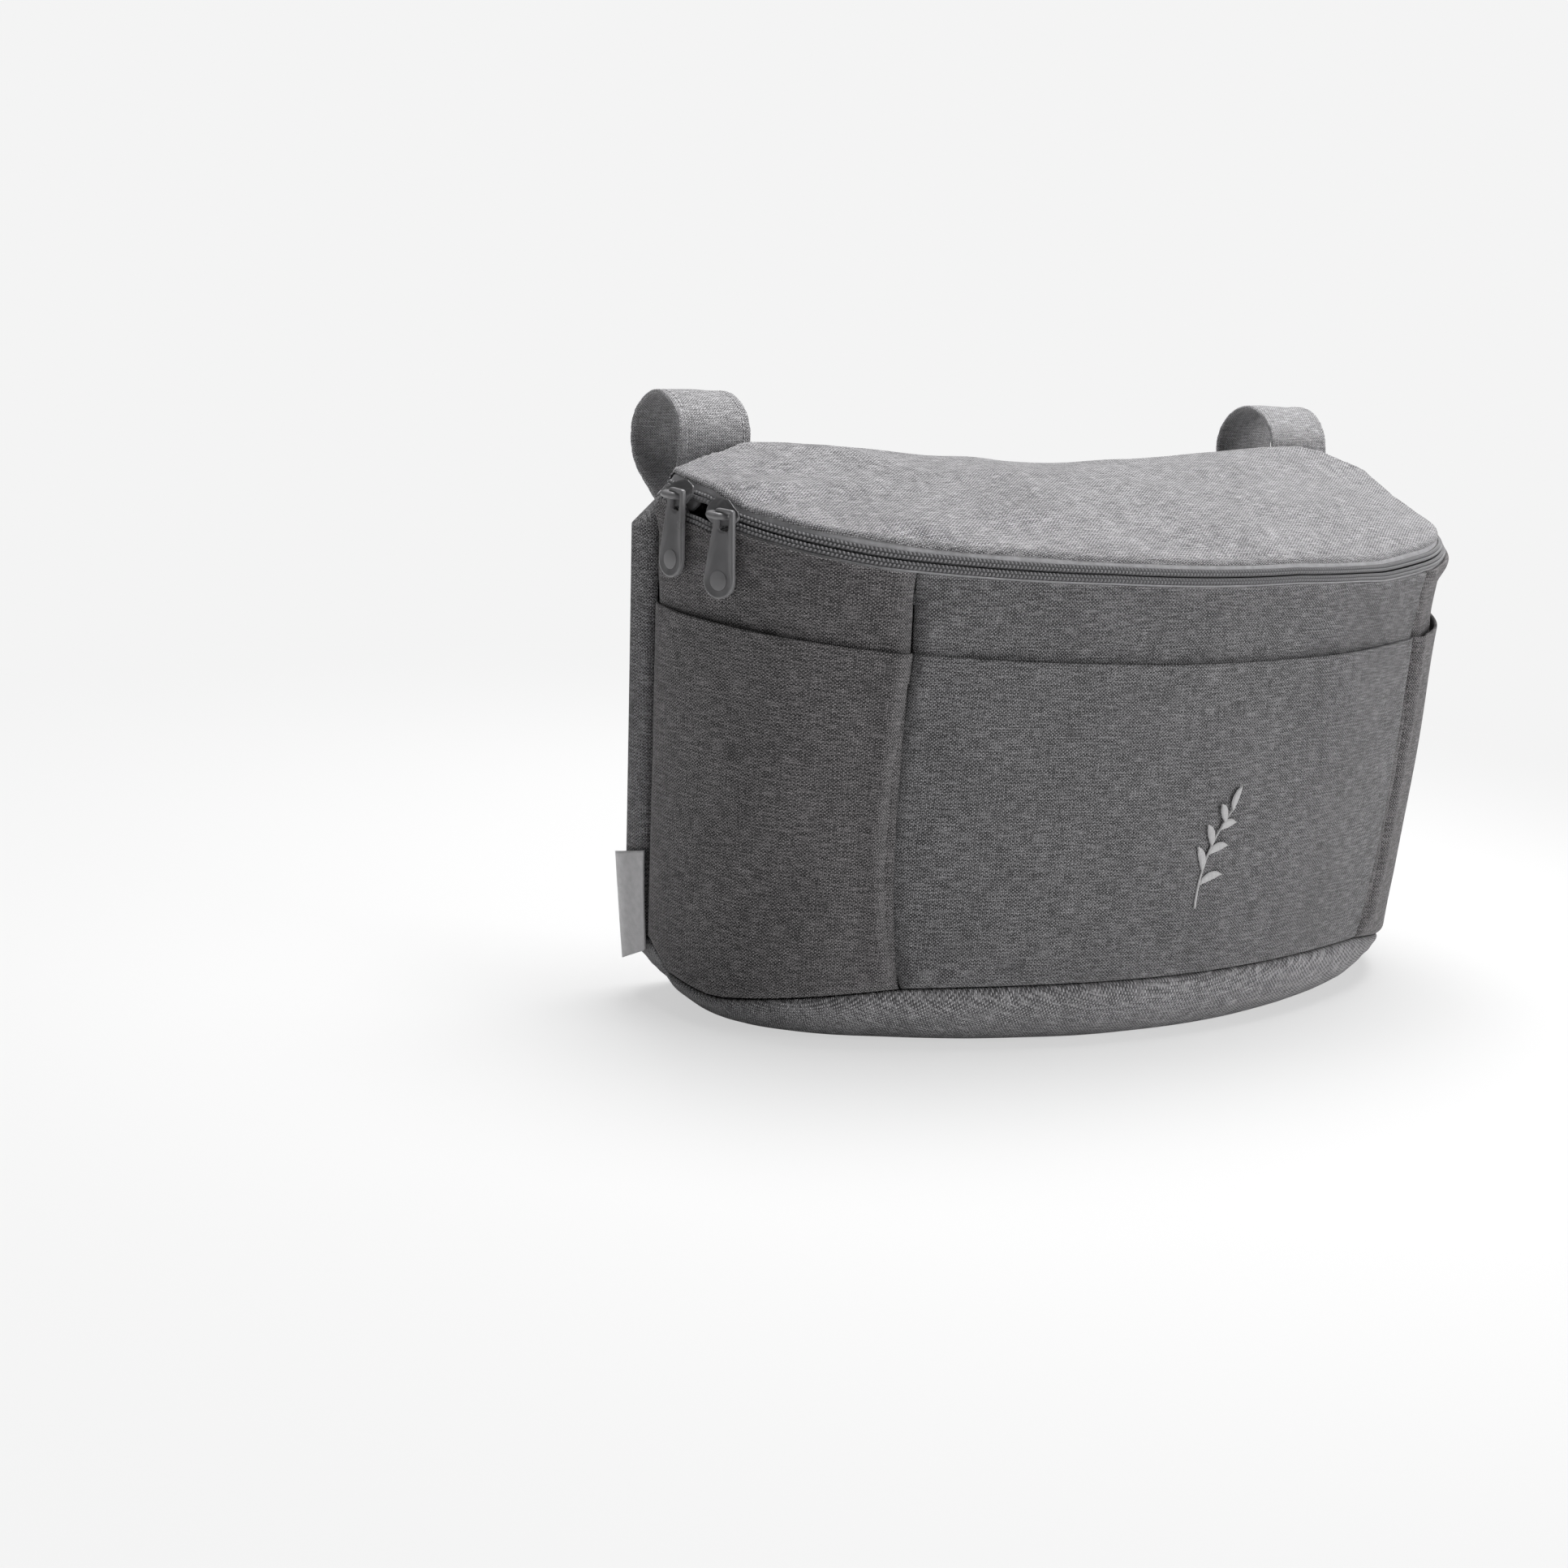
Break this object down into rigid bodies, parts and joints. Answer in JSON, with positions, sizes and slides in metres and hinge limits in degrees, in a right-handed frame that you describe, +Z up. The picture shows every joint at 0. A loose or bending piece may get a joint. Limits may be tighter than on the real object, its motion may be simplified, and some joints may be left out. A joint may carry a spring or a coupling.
{
  "type": "stroller organizer",
  "caption": "Soft zip-top bag with open slip pockets round its outside, hung behind a stroller's handlebar by fabric loops with touch fasteners.",
  "frame": {"origin": "on the underside of the flat base, in the middle of the bag's width", "axes": "+X to the right seen from the front, -Y towards the front pocket, +Z up"},
  "size_m": [0.3591, 0.156, 0.2148],
  "materials": {
    "cloth": "mid-grey melange plain weave",
    "lid_cloth": "light grey melange plain weave",
    "lining": "dark smooth lining cloth",
    "board": "plain stiffener sheet",
    "zip_tape": "ribbed grey zip tape",
    "zip_chain": "grey nylon coil",
    "hardware": "satin grey lacquer",
    "touch_fastener": "black hook and loop",
    "label_satin": "light grey woven satin"
  },
  "bodies": {
    "bag": {"back_board": "board", "back_panel": "cloth", "base_board": "board", "base_panel": "cloth", "body_lining": "lining", "front_panel": "cloth", "front_pocket": "cloth", "hook_patch_left": "touch_fastener", "hook_patch_right": "touch_fastener", "lid_lining": "lining", "lid_panel": "lid_cloth", "loop_patch_left": "touch_fastener", "loop_patch_right": "touch_fastener", "side_label": "label_satin", "side_panel_left": "cloth", "side_panel_right": "cloth", "side_pocket_left": "cloth", "side_pocket_right": "cloth", "strap_left": "lid_cloth", "strap_right": "lid_cloth", "zip_coil_lower": "zip_chain", "zip_coil_upper": "zip_chain", "zip_tape_lower": "zip_tape", "zip_tape_upper": "zip_tape"},
    "slider_left": {"slider_left": "hardware"},
    "slider_right": {"slider_right": "hardware"},
    "puller_left": {"puller_left": "hardware"},
    "puller_right": {"puller_right": "hardware"}
  },
  "joints": [
    {"name": "slider_left_travel", "type": "hinge", "parent": "bag", "child": "slider_left", "pos_m": [-0.0925, 0.03828, 0.19346], "axis": [0, -0.1959, 0.9806], "range_deg": [-3.3, 0.8]},
    {"name": "slider_right_travel", "type": "hinge", "parent": "bag", "child": "slider_right", "pos_m": [-0.0925, 0.03828, 0.19346], "axis": [0, -0.1959, 0.9806], "range_deg": [-0.8, 42]},
    {"name": "puller_left_swing", "type": "hinge", "parent": "slider_left", "child": "puller_left", "pos_m": [-0.17384, 0.02682, 0.18766], "axis": [-0.9937, -0.1125, 0], "range_deg": [-30, 7]},
    {"name": "puller_right_swing", "type": "hinge", "parent": "slider_right", "child": "puller_right", "pos_m": [-0.16792, 0.00686, 0.18363], "axis": [-0.932, -0.3625, 0], "range_deg": [-7, 60]}
  ]
}
